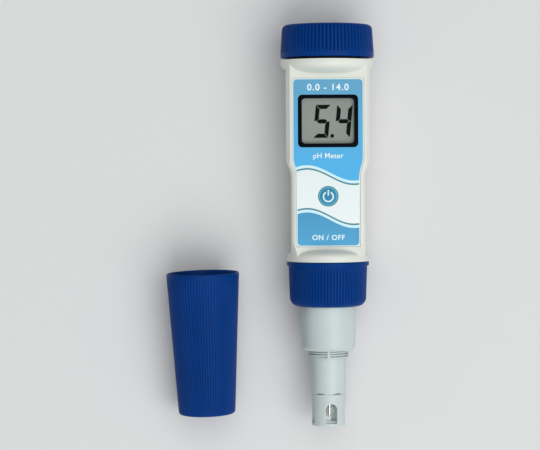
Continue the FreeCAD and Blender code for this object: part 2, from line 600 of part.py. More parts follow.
cells = []
for index in range(4):
    cell = new_body("cell_%d" % (index + 1))
    floor = "stack_bottom + %d * cell_height" % index
    turned(cell, "CellCan%d" % index, [
        ("0", floor), ("cell_cap_radius", floor), ("cell_cap_radius", floor + " + cell_step"),
        ("cell_radius", floor + " + 2 * cell_step"), ("cell_radius", floor + " + cell_height"),
        ("0", floor + " + cell_height"),
    ])
    cells.append(cell)

battery_spring = new_body("battery_spring")
wire = rounds(battery_spring, "SpringWire", "XZ",
              [("spring_radius", "spring_bottom", "spring_wire_radius")])
coil = battery_spring.newObject("PartDesign::AdditiveHelix", "SpringCoil")
coil.Profile = wire
coil.ReferenceAxis = (wire, ["V_Axis"])
coil.Mode = 0
coil.setExpression("Pitch", "Dim.spring_pitch")
coil.setExpression("Height", "Dim.spring_height")
battery_spring.Tip = coil

battery_terminal = new_body("battery_terminal")
extruded(battery_terminal, outline(battery_terminal, "TerminalSide", "YZ", [
    ("-board_back", "terminal_foot"), ("0.2", "terminal_foot"), ("0.2", "holder_floor"),
    ("terminal_half", "holder_floor"), ("terminal_half", "holder_floor + terminal_thickness"),
    ("-terminal_half", "holder_floor + terminal_thickness"), ("-terminal_half", "holder_floor"),
    ("-0.2", "holder_floor"), ("-0.2", "terminal_foot + terminal_thickness"),
    ("-board_back", "terminal_foot + terminal_thickness"),
]), "1.6", both_ways=True)

battery_strip = new_body("battery_strip")
extruded(battery_strip, outline(battery_strip, "StripSide", "YZ", [
    ("-board_back", "strip_foot"), ("holder_outer_radius + strip_thickness", "strip_foot"),
    ("holder_outer_radius + strip_thickness", "holder_flange_bottom"),
    ("holder_outer_radius", "holder_flange_bottom"),
    ("holder_outer_radius", "strip_foot + strip_thickness"),
    ("-board_back", "strip_foot + strip_thickness"),
]), "2 * strip_half_width", both_ways=True)

battery_seal = new_body("battery_seal")
ring_middle_radius = "ring_groove_radius + ring_half"
turned(battery_seal, "SealSection", [
    ("ring_groove_radius", "ring_middle - ring_half / 2"),
    (ring_middle_radius, "ring_middle - ring_half"),
    ("ring_groove_radius + 2 * ring_half", "ring_middle - ring_half / 2"),
    ("ring_groove_radius + 2 * ring_half", "ring_middle + ring_half / 2"),
    (ring_middle_radius, "ring_middle + ring_half"),
    ("ring_groove_radius", "ring_middle + ring_half / 2"),
])

contact_plate = new_body("contact_plate")
turned(contact_plate, "PlateDisc", [
    ("0", "plate_bottom"), ("plate_radius", "plate_bottom"), ("plate_radius", "plate_top"),
    ("post_neck_radius", "plate_top"), ("post_neck_radius", "post_neck_top"),
    ("post_head_radius", "post_neck_top"), ("post_neck_radius", "post_top"), ("0", "post_top"),
])
extruded(contact_plate, rounds(contact_plate, "GuidePins", "XY", [
    ("guide_x", "0", "guide_radius"), ("-guide_x", "0", "guide_radius")], "guide_bottom"),
    "plate_bottom + 0.5 - guide_bottom")

# ---------------------------------------------------------------- battery cap
battery_cap = new_body("battery_cap")
turned(battery_cap, "CapShell", [
    ("cap_bore_radius", "cap_bottom"), ("cap_mouth_radius", "cap_bottom"),
    ("cap_ring_radius", "cap_ring_bottom"), ("cap_ring_radius", "cap_ring_top"),
    ("cap_top_radius", "cap_top - cap_top_edge", "cap_top_edge", 1),
    ("cap_top_radius - cap_top_edge", "cap_top"), ("0", "cap_top"), ("0", "cap_ceiling"),
    ("clip_inner_radius", "cap_ceiling"), ("clip_inner_radius", "clip_lip_top"),
    ("clip_lip_radius", "clip_lip_top"), ("clip_lip_radius", "clip_bottom"),
    ("clip_outer_radius", "clip_bottom"), ("clip_outer_radius", "cap_ceiling"),
    ("cap_bore_radius", "cap_ceiling"),
])
helical_ridge(battery_cap, "CapThread", ridge_profile(
    "cap_bore_radius + ridge_sink", "cap_ridge_radius", "cap_ridge_start"),
    "thread_pitch", "cap_ridge_height")
ribbed(battery_cap, "CapGroove", [
    ("cap_ring_radius - cap_rib_depth", "cap_ring_top"), ("cap_ring_radius + 1", "cap_ring_top"),
    ("cap_ring_radius + 1", "cap_top + 1"),
    ("cap_top_radius - cap_rib_depth - cap_top_edge", "cap_top + 1"),
    ("cap_top_radius - cap_rib_depth - cap_top_edge", "cap_top"),
    ("cap_top_radius - cap_rib_depth", "cap_top - cap_top_edge"),
], "cap_rib_gap", CAP_RIBS)

# ---------------------------------------------------------------- collar
electrode_collar = new_body("electrode_collar")
turned(electrode_collar, "CollarShell", [
    ("collar_bore_radius", "-collar_start"), ("collar_bore_radius", "-bead_start"),
    ("bead_radius", "-bead_start"), ("bead_radius", "-bead_end"),
    ("collar_bore_radius", "-bead_end"), ("collar_bore_radius", "-collar_seat"),
    ("collar_pass_radius", "-collar_seat"), ("collar_pass_radius", "-collar_end"),
    ("collar_end_radius", "-collar_end", "collar_round", 1),
    ("collar_lower_radius", "-collar_turn"), ("collar_upper_radius", "-flange_end"),
    ("flange_radius", "-flange_end"), ("flange_radius", "-collar_start"),
])
helical_ridge(electrode_collar, "CollarThread", ridge_profile(
    "collar_bore_radius + ridge_sink", "collar_ridge_radius", "collar_ridge_start"),
    "thread_pitch", "collar_ridge_height")
ribbed(electrode_collar, "CollarGroove", [
    ("collar_end_radius + 0.4", "-collar_end - 1"), ("collar_upper_radius + 1", "-collar_end - 1"),
    ("collar_upper_radius + 1", "-flange_end"),
    ("collar_upper_radius - collar_rib_depth", "-flange_end"),
    ("collar_lower_radius - collar_rib_depth", "-collar_turn + 0.4"),
    ("collar_end_radius + 0.4", "-collar_end + 1.1"),
], "collar_rib_gap", COLLAR_RIBS)

# ---------------------------------------------------------------- electrode
electrode_body = new_body("electrode_body")
turned(electrode_body, "ElectrodeOuter", [
    ("0", "-spigot_top"), ("0", "-gel_bore_start"), ("gel_bore_radius", "-gel_bore_start"),
    ("gel_bore_radius", "-shaft_end"), ("shaft_radius - seam_edge", "-shaft_end"),
    ("shaft_radius", "-shaft_end + seam_edge"), ("shaft_radius", "-fine_end"),
    ("fine_core_radius", "-fine_end"),
    ("fine_core_radius", "-nose_end"), ("nose_radius", "-nose_end"),
    ("neck_end_radius", "-neck_end"), ("neck_radius", "-collar_end"),
    ("neck_radius", "-seat_end"), ("seat_radius", "-seat_end"), ("seat_radius", "-seat_start"),
    ("spigot_radius", "-seat_start"), ("spigot_radius", "-spigot_top"),
])
helical_ridge(electrode_body, "NoseThread", ridge_profile(
    "fine_core_radius - ridge_sink", "fine_crest_radius", "fine_start",
    "fine_half_base", "fine_half_crest"), "fine_pitch", "fine_height")
checked_cut(electrode_body, outline(electrode_body, "ThreadGap", "XZ", box_corners(
    "-fine_gap / 2", "fine_gap / 2", "-fine_end", "-nose_end"), "fine_core_radius - 0.1"),
    "fine_crest_radius - fine_core_radius + 1", backward=True)

electrode_guard = new_body("electrode_guard")
turned(electrode_guard, "GuardTube", [
    ("guard_inner_radius", "-plug_end"), ("plug_radius", "-plug_end"),
    ("plug_radius", "-guard_spigot_start"), ("guard_spigot_radius", "-guard_spigot_start"),
    ("guard_spigot_radius", "-shaft_end"), ("guard_radius - seam_edge", "-shaft_end"),
    ("guard_radius", "-shaft_end - seam_edge"),
    ("guard_radius", "-guard_end + guard_round", "guard_round", -1),
    ("guard_radius - guard_round", "-guard_end"), ("guard_bore_radius", "-guard_end"),
    ("guard_bore_radius", "-window_end"), ("guard_inner_radius", "-window_end"),
])
arched_window = [
    ("-window_half_width + window_foot", "-window_end"),
    ("window_half_width - window_foot", "-window_end", "window_foot", 1),
    ("window_half_width", "-window_end + window_foot"),
    ("window_half_width", "-window_start - window_half_width", "window_half_width", 1),
    ("0", "-window_start", "window_half_width", 1),
    ("-window_half_width", "-window_start - window_half_width"),
    ("-window_half_width", "-window_end + window_foot", "window_foot", 1),
]
for plane in ("XZ", "YZ"):
    checked_cut(electrode_guard, outline(electrode_guard, "Window" + plane, plane, arched_window),
                "4 * guard_radius", both_ways=True)


def window_rim(edge):
    """Chooser for the edges that the windows leave in the guard's outer face."""
    middle = edge.valueAt((edge.FirstParameter + edge.LastParameter) / 2)
    outside = abs(math.hypot(middle.x, middle.y) - number("guard_radius")) < 1e-4
    return outside and -number("window_end") - 1e-4 < middle.z < -number("window_start") + 1e-4


rounded_edges(electrode_guard, "WindowRims", "window_edge", window_rim)

glass_bulb = new_body("glass_bulb")
stem_meet = "sqrt(bulb_radius^2 - stem_radius^2)"
inner_bulb = "(bulb_radius - stem_wall)"
inner_meet = "sqrt(%s^2 - (stem_radius - stem_wall)^2)" % inner_bulb
turned(glass_bulb, "BulbSection", [
    ("stem_radius - stem_wall", "-stem_start"), ("0", "-stem_start"),
    ("0", "-stem_start + stem_wall"), ("stem_radius", "-stem_start + stem_wall"),
    ("stem_radius", "-bulb_middle + " + stem_meet, "bulb_radius", -1),
    ("bulb_radius", "-bulb_middle", "bulb_radius", -1), ("0", "-bulb_middle - bulb_radius"),
    ("0", "-bulb_middle - " + inner_bulb, inner_bulb, 1),
    (inner_bulb, "-bulb_middle", inner_bulb, 1),
    ("stem_radius - stem_wall", "-bulb_middle + " + inner_meet),
])

junction_plug = new_body("junction_plug")
turned(junction_plug, "PlugRing", [
    ("stem_hole_radius", "-plug_end"), ("plug_radius", "-plug_end"),
    ("plug_radius", "-guard_spigot_start - 0.5"), ("stem_hole_radius", "-guard_spigot_start - 0.5"),
])
checked_cut(junction_plug, rounds(junction_plug, "ProbeHole", "XY", [
    ("probe_x", "-probe_forward", "probe_radius + 0.02")], "-guard_spigot_start - 0.5"),
    "plug_end - guard_spigot_start")

temperature_pin = new_body("temperature_pin")
extruded(temperature_pin, rounds(temperature_pin, "PinShape", "XY", [
    ("probe_x", "-probe_forward", "probe_radius")], "-probe_end"), "probe_end - gel_bore_start")
rounded_edges(temperature_pin, "PinTip", "probe_tip",
              lambda edge: abs(edge.CenterOfMass.z + number("probe_end")) < 1e-6)


def straight_wire(label, x, bottom, top):
    body = new_body(label)
    extruded(body, rounds(body, label + "_round", "XY", [(x, "0", "wire_radius")], bottom),
             "%s - (%s)" % (top, bottom))
    return body


reference_wire = straight_wire("reference_wire", "reference_x", "-guard_spigot_start + 1",
                               "-gel_bore_start")
inner_wire = straight_wire("inner_wire", "inner_wire_x", "-bulb_middle - 1", "-stem_start")

electrode_pins = new_body("electrode_pins")
pin_places = [(side + axis, other) if along_x else (other, side + axis)
              for along_x, axis, other in ((True, "pin_circle", "0"), (False, "pin_circle", "0"))
              for side in ("", "-")]
extruded(electrode_pins, rounds(electrode_pins, "PinRods", "XY", [
    (x, y, "pin_radius") for x, y in pin_places], "-spigot_top"), "pin_top + spigot_top")

electrode_socket = new_body("electrode_socket")
turned(electrode_socket, "SocketDisc", [
    ("0", "socket_bottom"), ("socket_radius", "socket_bottom"),
    ("socket_radius", "cavity_bottom"), ("0", "cavity_bottom"),
])
checked_cut(electrode_socket, rounds(electrode_socket, "PinHoles", "XY", [
    (x, y, "pin_hole_radius") for x, y in pin_places], "socket_bottom"),
    "pin_top + 0.6 - socket_bottom", backward=True)

electrode_seal = new_body("electrode_seal")
turned(electrode_seal, "GasketRing", [
    ("gasket_inner_radius", "-seat_start"), ("gasket_outer_radius", "-seat_start"),
    ("gasket_outer_radius", "-lower_neck_length - 0.1"),
    ("gasket_inner_radius", "-lower_neck_length - 0.1"),
])

# ---------------------------------------------------------------- sensor cap
sensor_cap = new_body("sensor_cap")
slope = "(guardcap_mouth_radius - guardcap_end_radius) / guardcap_length"
turned(sensor_cap, "CapWall", [
    ("0", "0"), ("guardcap_end_radius - guardcap_edge", "0", "guardcap_edge", 1),
    ("guardcap_end_radius + guardcap_edge * (%s)" % slope, "guardcap_edge"),
    ("guardcap_mouth_radius - guardcap_rim * 0.3", "guardcap_length - guardcap_rim"),
    ("guardcap_mouth_radius - guardcap_rim", "guardcap_length"),
    ("guardcap_mouth_radius - guardcap_wall", "guardcap_length"),
    ("guardcap_end_radius - guardcap_wall", "guardcap_wall"), ("0", "guardcap_wall"),
])
ribbed(sensor_cap, "SensorCapGroove", [
    ("guardcap_end_radius - guardcap_rib_depth", "guardcap_edge"),
    ("guardcap_end_radius - guardcap_edge - 0.3", "-1"), ("guardcap_mouth_radius + 1", "-1"),
    ("guardcap_mouth_radius + 1", "guardcap_length - guardcap_edge"),
    ("guardcap_mouth_radius - guardcap_rib_depth", "guardcap_length - guardcap_edge"),
], "guardcap_rib_gap", GUARDCAP_RIBS)


def cap_bore(height):
    """Radius of the cap's tapering bore at a height above its closed end."""
    return "guardcap_end_radius - guardcap_wall + (%s) * (%s - guardcap_wall)" % (slope, height)


cap_liner = new_body("cap_liner")
turned(cap_liner, "LinerCup", [
    ("0", "guardcap_wall"), ("liner_radius + liner_wall", "guardcap_wall"),
    ("liner_radius + liner_wall", "liner_seat"),
    (cap_bore("liner_seat") + " - liner_clear", "liner_seat"),
    (cap_bore("liner_top") + " - liner_clear", "liner_top"), ("liner_radius", "liner_top"),
    ("liner_radius", "liner_bottom"), ("0", "liner_bottom"),
])
helical_ridge(cap_liner, "LinerThread", ridge_profile(
    "liner_radius + ridge_sink", "liner_ridge_radius", "liner_ridge_start",
    "fine_half_base", "fine_half_crest"), "fine_pitch", "liner_ridge_height")

cap_sponge = new_body("cap_sponge")
turned(cap_sponge, "SpongeDisc", [
    ("0", "liner_bottom"), ("sponge_radius", "liner_bottom"),
    ("sponge_radius", "liner_bottom + sponge_height"), ("0", "liner_bottom + sponge_height"),
])
doc.recompute()

# ---------------------------------------------------------------- laying the pieces on the table
# The pen rests on the wide upper lip and on the narrower collar flange, so the tip end is lower.
tilt = math.atan((number("upper_lip_radius") - number("flange_radius"))
                 / (number("upper_lip_bottom") + number("flange_end")))
PEN_X, PEN_Y = 24.789, -15.347
pen_height = number("flange_radius") * math.cos(tilt) + number("flange_end") * math.sin(tilt)
lying = FreeCAD.Rotation(Vector(1, 0, 0), math.degrees(tilt) - 90)
pen_place = FreeCAD.Placement(Vector(PEN_X, PEN_Y, pen_height), lying)
guard_place = pen_place.multiply(FreeCAD.Placement(
    Vector(0, 0, 0), FreeCAD.Rotation(Vector(0, 0, 1), number("guard_turn"))))

# The sensor cap lies on its tapering side, its mouth leaning a little away from the pen.
CAP_X, CAP_Y, CAP_YAW = PEN_X - 52.3, PEN_Y - 65.8, 1.5
half_cone = math.atan((number("guardcap_mouth_radius") - number("guardcap_end_radius"))
                      / number("guardcap_length"))
cap_turned = FreeCAD.Rotation(Vector(0, 0, 1), CAP_YAW).multiply(
    FreeCAD.Rotation(Vector(1, 0, 0), math.degrees(half_cone) - 90))
cap_place = FreeCAD.Placement(
    Vector(CAP_X, CAP_Y, number("guardcap_end_radius") * math.cos(half_cone)), cap_turned)

pen_pieces = halves + cells + [
    front_label, display_bezel, display_window, lcd_glass, lcd_frame, lcd_connectors,
    circuit_board, board_screws, controller_chip, amplifier_chip, board_crystal,
    board_capacitors, switch_body, switch_plunger, power_button, battery_holder, battery_spring,
    battery_terminal, battery_strip, battery_seal, contact_plate, battery_cap, electrode_collar,
    electrode_body, glass_bulb, junction_plug, temperature_pin, reference_wire, inner_wire,
    electrode_pins, electrode_socket, electrode_seal,
]
for piece in pen_pieces:
    piece.Placement = pen_place
electrode_guard.Placement = guard_place
cap_pieces = [sensor_cap, cap_liner, cap_sponge]
for piece in cap_pieces:
    piece.Placement = cap_place
doc.recompute()

# ---------------------------------------------------------------- checking and writing
troubled = [item.Name for item in doc.Objects
            if "Invalid" in item.State or "Error" in item.State]
if troubled:
    raise RuntimeError("objects in error: " + ", ".join(troubled))
os.makedirs("parts", exist_ok=True)
limits = FreeCAD.BoundBox()
for piece in pen_pieces + [electrode_guard] + cap_pieces:
    if piece.Shape.isNull() or not piece.Shape.isValid() or not piece.Shape.Solids:
        raise RuntimeError("bad shape: " + piece.Label)
    limits.add(piece.Shape.BoundBox)
    piece.Shape.exportStep("parts/%s.step" % piece.Label)
    print("%-18s solids %d volume %9.2f" % (piece.Label, len(piece.Shape.Solids),
                                           piece.Shape.Volume))
print("box x %.3f %.3f y %.3f %.3f z %.3f %.3f" % (
    limits.XMin, limits.XMax, limits.YMin, limits.YMax, limits.ZMin, limits.ZMax))
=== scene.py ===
import json
import math

import bmesh
import bpy
from mathutils import Matrix, Vector


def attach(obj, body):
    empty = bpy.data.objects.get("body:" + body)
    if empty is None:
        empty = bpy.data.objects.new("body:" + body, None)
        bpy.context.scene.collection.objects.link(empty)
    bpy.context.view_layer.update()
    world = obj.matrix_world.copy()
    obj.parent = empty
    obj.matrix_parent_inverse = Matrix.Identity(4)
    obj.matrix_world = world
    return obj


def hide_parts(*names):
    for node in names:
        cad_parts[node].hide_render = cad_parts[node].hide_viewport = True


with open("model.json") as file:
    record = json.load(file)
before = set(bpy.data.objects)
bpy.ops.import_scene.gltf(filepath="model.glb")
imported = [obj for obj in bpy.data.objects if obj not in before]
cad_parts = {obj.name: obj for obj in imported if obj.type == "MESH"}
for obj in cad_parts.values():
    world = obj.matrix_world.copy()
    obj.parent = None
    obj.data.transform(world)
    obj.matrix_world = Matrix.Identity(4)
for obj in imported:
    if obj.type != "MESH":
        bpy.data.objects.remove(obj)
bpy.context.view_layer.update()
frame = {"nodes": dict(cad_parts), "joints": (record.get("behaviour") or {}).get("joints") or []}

MM = 0.001
nodes = frame["nodes"]
joints = {joint["name"]: joint for joint in frame["joints"]}

# ---------------------------------------------------------------- the two axes of the object
# The pen is drawn on its own axis: along is the distance from the housing's lower lip toward
# the battery cap, x goes to the right and the display faces -y. Lengths are millimetres.
cap_joint = joints["battery_cap_turn"]
pen_axis = Vector(cap_joint["axis"]).normalized()
CAP_JOINT_ALONG = 90.0
pen_start = Vector(cap_joint["pos_m"]) - pen_axis * CAP_JOINT_ALONG * MM
pen_right = Vector((1, 0, 0))
pen_back = pen_axis.cross(pen_right)
PEN = Matrix((pen_right, pen_back, pen_axis)).transposed().to_4x4()
PEN.translation = pen_start
PEN = PEN @ Matrix.Scale(MM, 4)

# The sensor cap lies on its tapering side; its axis runs from the closed end to the mouth.
CAP_END_RADIUS, CAP_MOUTH_RADIUS, CAP_LENGTH = 12.2, 15.85, 61.1
CAP_YAW = math.radians(1.5)
CAP_LEFT_OF_PEN, CAP_BELOW_PEN = 52.3, 65.8
half_cone = math.atan((CAP_MOUTH_RADIUS - CAP_END_RADIUS) / CAP_LENGTH)
cap_start = Vector((pen_start.x - CAP_LEFT_OF_PEN * MM, pen_start.y - CAP_BELOW_PEN * MM,
                    CAP_END_RADIUS * math.cos(half_cone) * MM))
CAP = (Matrix.Translation(cap_start) @ Matrix.Rotation(CAP_YAW, 4, "Z")
       @ Matrix.Rotation(half_cone - math.pi / 2, 4, "X") @ Matrix.Scale(MM, 4))


# ---------------------------------------------------------------- materials
class Nodes:
    """Short way to build a node material."""

    def __init__(self, name):
        self.material = bpy.data.materials.new(name)
        self.material.use_nodes = True
        self.tree = self.material.node_tree
        self.shader = self.tree.nodes["Principled BSDF"]
        self.place = self.tree.nodes.new("ShaderNodeTexCoord").outputs["Object"]

    def add(self, kind, inputs=(), **settings):
        node = self.tree.nodes.new(kind)
        for key, value in settings.items():
            setattr(node, key, value)
        for key, value in dict(inputs).items():
            self.link(value, node.inputs[key])
        return node

    def link(self, value, socket):
        if isinstance(value, bpy.types.NodeSocket):
            self.tree.links.new(value, socket)
        else:
            socket.default_value = value

    def math(self, operation, first, second=0.0):
        return self.add("ShaderNodeMath", {0: first, 1: second}, operation=operation).outputs[0]

    def noise(self, scale, detail=3.0, stretch=(1, 1, 1)):
        mapped = self.add("ShaderNodeMapping", {"Vector": self.place, "Scale": stretch})
        noise = self.add("ShaderNodeTexNoise", {
            "Vector": mapped.outputs[0], "Scale": scale, "Detail": detail, "Roughness": 0.55})
        return noise.outputs["Fac"]

    def between(self, amount, low, high, start=0.3, end=0.7):
        ramp = self.add("ShaderNodeValToRGB", {"Fac": amount})
        ramp.color_ramp.elements[0].position, ramp.color_ramp.elements[1].position = start, end
        ramp.color_ramp.elements[0].color = (*low, 1)
        ramp.color_ramp.elements[1].color = (*high, 1)
        return ramp.outputs["Color"]

    def spread(self, amount, low, high):
        """Value that follows amount from low to high."""
        return self.add("ShaderNodeMapRange", {
            "Value": amount, "To Min": low, "To Max": high}).outputs[0]

    def bump(self, height, strength, distance):
        bump = self.add("ShaderNodeBump", {
            "Height": height, "Strength": strength, "Distance": distance})
        self.link(bump.outputs["Normal"], self.shader.inputs["Normal"])


def shade(color, factor):
    return tuple(min(1.0, channel * factor) for channel in color)


def plastic(name, color, roughness=0.4, variation=0.06, grain=900.0, grain_depth=0.00002,
            specular=0.5, subsurface=0.0):
    """Moulded plastic: faint cloudy colour, fine-grained surface, uneven gloss."""
    n = Nodes(name)
    cloud = n.noise(60.0)
    n.link(n.between(cloud, shade(color, 1 - variation), shade(color, 1 + variation)),
           n.shader.inputs["Base Color"])
    n.link(n.spread(n.noise(240.0), roughness - 0.06, roughness + 0.06),
           n.shader.inputs["Roughness"])
    n.bump(n.noise(grain, detail=2.0), 0.35, grain_depth)
    n.shader.inputs["Specular IOR Level"].default_value = specular
    if subsurface:
        n.shader.inputs["Subsurface Weight"].default_value = subsurface
        n.shader.inputs["Subsurface Radius"].default_value = (0.002, 0.002, 0.002)
    return n.material


def metal(name, color, roughness=0.3, stretch=(1, 1, 1)):
    """Drawn or plated metal with fine streaks."""
    n = Nodes(name)
    streak = n.noise(700.0, stretch=stretch)
    n.link(n.between(streak, shade(color, 0.85), shade(color, 1.1)),
           n.shader.inputs["Base Color"])
    n.link(n.spread(streak, roughness - 0.08, roughness + 0.08), n.shader.inputs["Roughness"])
    n.bump(streak, 0.2, 0.00001)
    n.shader.inputs["Metallic"].default_value = 1.0
    return n.material


def clear(name, color, alpha):
    """Clear plastic or glass: mostly see-through, with its own gloss."""
    n = Nodes(name)
    n.link(n.between(n.noise(80.0), shade(color, 0.97), color), n.shader.inputs["Base Color"])
    n.link(n.spread(n.noise(300.0), 0.06, 0.09), n.shader.inputs["Roughness"])
    n.shader.inputs["Alpha"].default_value = alpha
    n.shader.inputs["Specular IOR Level"].default_value = 0.3
    return n.material


BLUE = (0.001, 0.036, 0.195)
blue_plastic = plastic("blue_plastic", BLUE, 0.36, 0.06, specular=0.06)
housing_plastic = plastic("housing_plastic", (0.72, 0.745, 0.68), 0.38, 0.02, grain=1400.0,
                          specular=0.35, subsurface=0.1)
electrode_plastic = plastic("electrode_plastic", (0.54, 0.62, 0.61), 0.36, 0.025, grain=1200.0,
                            specular=0.4)
liner_plastic = plastic("liner_plastic", (0.004, 0.03, 0.14), 0.45, 0.05)
black_plastic = plastic("black_plastic", (0.012, 0.012, 0.013), 0.5, 0.1, specular=0.3)
bezel_ink = plastic("bezel_ink", (0.001, 0.002, 0.006), 0.35, 0.1, grain=2000.0, specular=0.02)
frame_plastic = plastic("frame_plastic", (0.7, 0.7, 0.68), 0.4, 0.03)
seal_rubber = plastic("seal_rubber", (0.012, 0.012, 0.012), 0.75, 0.15, grain=1500.0)
connector_rubber = plastic("connector_rubber", (0.45, 0.2, 0.24), 0.7, 0.1, grain=1600.0)
board_lacquer = plastic("board_lacquer", (0.01, 0.12, 0.035), 0.3, 0.15, grain=700.0)
tan_ceramic = plastic("tan_ceramic", (0.45, 0.28, 0.14), 0.5, 0.12)
white_ceramic = plastic("white_ceramic", (0.72, 0.72, 0.66), 0.8, 0.08, grain=2500.0,
                        grain_depth=0.00006)
sponge_foam = plastic("sponge_foam", (0.72, 0.68, 0.5), 0.95, 0.2, grain=900.0,
                      grain_depth=0.0006)
steel = metal("steel", (0.58, 0.58, 0.6), 0.3, (1, 6, 6))
bright_steel = metal("bright_steel", (0.78, 0.77, 0.74), 0.22, (6, 1, 6))
brass = metal("brass", (0.75, 0.56, 0.22), 0.28)
silver = metal("silver", (0.8, 0.8, 0.8), 0.35)
window_clear = clear("window_clear", (0.02, 0.025, 0.025), 0.08)
bulb_glass = clear("bulb_glass", (0.75, 0.8, 0.76), 0.38)

CAD_LOOKS = {
    blue_plastic: ["battery_cap", "electrode_collar", "sensor_cap"],
    housing_plastic: ["front_shell", "rear_shell"],
    electrode_plastic: ["electrode_body", "electrode_guard"],
    liner_plastic: ["cap_liner"],
    black_plastic: ["controller_chip", "amplifier_chip", "switch_body", "switch_plunger",
                    "battery_holder", "electrode_socket"],
    bezel_ink: ["display_bezel"],
    frame_plastic: ["lcd_frame", "lcd_glass"],
    seal_rubber: ["battery_seal", "electrode_seal"],
    connector_rubber: ["lcd_connectors"],
    board_lacquer: ["circuit_board"],
    tan_ceramic: ["board_capacitors"],
    white_ceramic: ["junction_plug"],
    sponge_foam: ["cap_sponge"],
    steel: ["board_screws", "board_crystal", "battery_spring", "battery_terminal",
            "battery_strip", "cell_1", "cell_2", "cell_3", "cell_4"],
    bright_steel: ["temperature_pin"],
    brass: ["contact_plate", "electrode_pins"],
    silver: ["reference_wire", "inner_wire"],
    window_clear: ["display_window"],
    bulb_glass: ["glass_bulb"],
}
for material, names in CAD_LOOKS.items():
    for name in names:
        nodes[name].data.materials.clear()
        nodes[name].data.materials.append(material)


# ---------------------------------------------------------------- mesh tools
SMOOTH_ANGLE = math.radians(35.0)


def mesh_piece(name, points, faces, place, material, body, slot):
    """Mesh from points in millimetres on the pen's or the cap's own axis, riding on a body."""
    mesh = bpy.data.meshes.new(name)
    mesh.from_pydata([place @ Vector(point) for point in points], [], faces)
    mesh.materials.append(material)
    piece = bpy.data.objects.new(name, mesh)
    bpy.context.scene.collection.objects.link(piece)
    tidy = bmesh.new()
    tidy.from_mesh(mesh)
    bmesh.ops.remove_doubles(tidy, verts=tidy.verts, dist=1e-7)
    bmesh.ops.recalc_face_normals(tidy, faces=tidy.faces)
    tidy.to_mesh(mesh)
    tidy.free()
    mesh.shade_smooth()
    mesh.set_sharp_from_angle(angle=SMOOTH_ANGLE)
    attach(piece, body)
    return piece


def arc_points(middle, radius, first, last, steps):
    """Points of an arc in a profile, angles in degrees."""
    found = []
    for i in range(steps + 1):
        angle = math.radians(first + (last - first) * i / steps)
        found.append((middle[0] + radius * math.cos(angle), middle[1] + radius * math.sin(angle)))
    return found


def split_long(profile, longest):
    """Profile with its long steps divided."""
    found = [profile[0]]
    for here, there in zip(profile, profile[1:]):
        count = max(1, math.ceil(math.dist(here, there) / longest))
        for i in range(1, count + 1):
            found.append(tuple(a + (b - a) * i / count for a, b in zip(here, there)))
    return found


def lathe(profile, around, radius_at=None, along_at=None):
    """Points and faces of a turned shape. radius_at(radius, along, share of a turn) may
    change a point's radius, for ribs, and along_at its height, for an uneven edge. Points on
    the axis become one."""
    points, faces, rows = [], [], []
    for radius, along in profile:
        if radius < 1e-6:
            rows.append([len(points)] * around)
            points.append((0, 0, along))
            continue
        row = []
        for i in range(around):
            share = i / around
            r = radius_at(radius, along, share) if radius_at else radius
            angle = 2 * math.pi * share
            height = along_at(along, share) if along_at else along
            row.append(len(points))
            points.append((r * math.cos(angle), r * math.sin(angle), height))
        rows.append(row)
    for low, high in zip(rows, rows[1:] + rows[:1]):
        for i in range(around):
            j = (i + 1) % around
            face = [low[i], low[j], high[j], high[i]]
            face = [v for k, v in enumerate(face) if v != face[k - 1]]
            if len(face) > 2:
                faces.append(face)
    return points, faces


def helix_ridge(root, crest, half_base, half_crest, start, pitch, turns, first=0.0):
    """Points and faces of a screw-thread ridge that fades in and out at its ends. first is
    the share of a turn at which it starts."""
    per_turn, fade_steps = 72, 8.0
    section = [(0.0, -half_base), (1.0, -half_crest), (1.0, half_crest), (0.0, half_base)]
    points, faces = [], []
    steps = round(turns * per_turn)
    for i in range(steps + 1):
        turn = i / per_turn
        rise = min(1.0, i / fade_steps, (steps - i) / fade_steps)
        for share, offset in section:
            r = root + (crest - root) * share * rise
            angle = 2 * math.pi * (turn + first)
            points.append((r * math.cos(angle), r * math.sin(angle),
                           start + pitch * turn + offset))
    for i in range(steps):
        for k in range(4):
            a, b = 4 * i + k, 4 * i + (k + 1) % 4
            faces.append((a, b, b + 4, a + 4))
    faces += [(3, 2, 1, 0), tuple(4 * steps + k for k in range(4))]
    return points, faces


def joined(*shapes):
    points, faces = [], []
    for some_points, some_faces in shapes:
        base = len(points)
        points += some_points
        faces += [[base + v for v in face] for face in some_faces]
    return points, faces


def eased(value, low, high):
    """0 below low, 1 above high, smooth between."""
    share = min(1.0, max(0.0, (value - low) / (high - low)))
    return share * share * (3 - 2 * share)


RIB_STEPS = 12
THREAD_PITCH, FINE_PITCH = 2.5, 1.08


def rib_groove(share, count):
    """0 on the top of a rib and 1 at the bottom of the groove between two."""
    across = abs((share * count) % 1.0 - 0.5) * 2
    return eased(1 - across, 0.42, 0.95)


